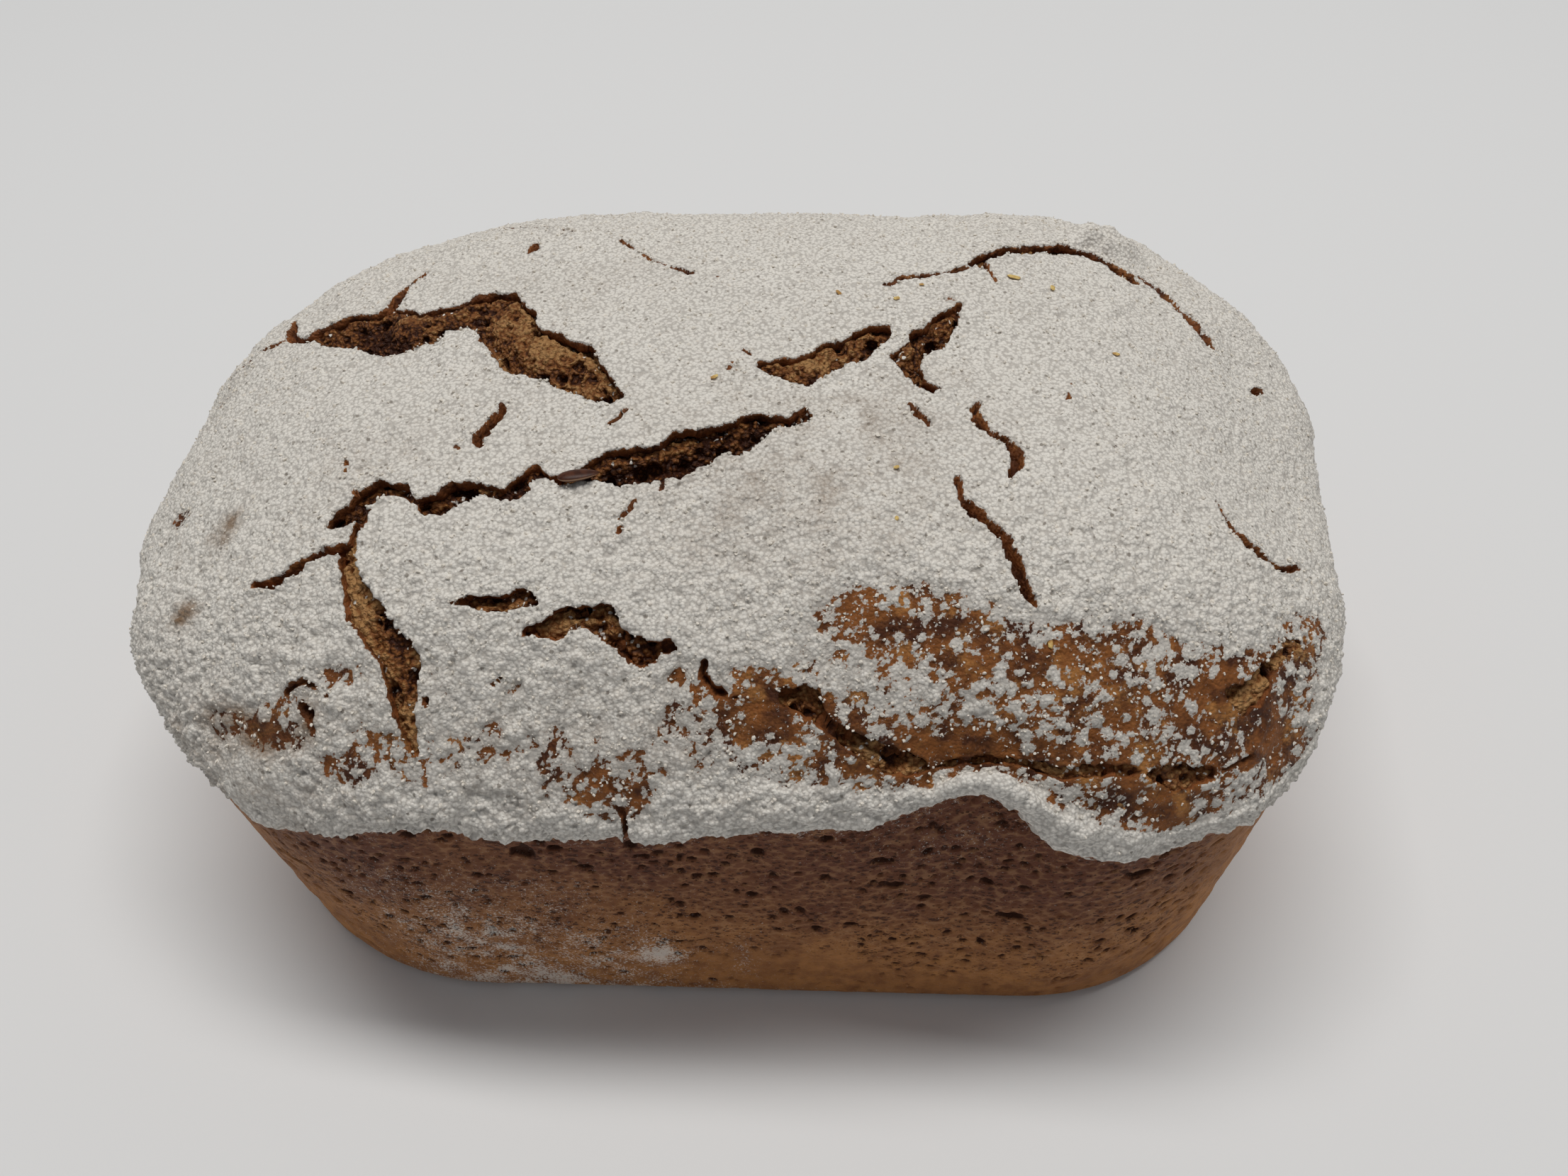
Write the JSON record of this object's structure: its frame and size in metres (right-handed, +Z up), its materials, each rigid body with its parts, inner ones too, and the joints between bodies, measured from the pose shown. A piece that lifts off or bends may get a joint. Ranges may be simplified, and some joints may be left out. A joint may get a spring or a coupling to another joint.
{
  "type": "rye bread loaf",
  "caption": "Whole tin-baked rye loaf with a flour-dusted, torn dome, rounded corners and a drafted wall that rests on a flat underside.",
  "frame": {"origin": "middle of the flat underside, below the middle of the loaf's box", "axes": "+Z up, +X along the loaf to the end with the tighter back corner, -Y the long side whose rim stands in a wave"},
  "size_m": [0.18, 0.124, 0.0791],
  "materials": {
    "floured_crust": "matt rye crust under a thick, clumped coat of flour",
    "tin_crust": "matt dark brown crust, pitted where it met the tin",
    "torn_crumb": "rough, porous honey-brown crumb",
    "dusting_flour": "loose flour",
    "bran": "dry bran flake",
    "flax_seed": "smooth, glossy seed coat"
  },
  "bodies": {
    "root": {"loaf": "floured_crust"}
  },
  "joints": []
}
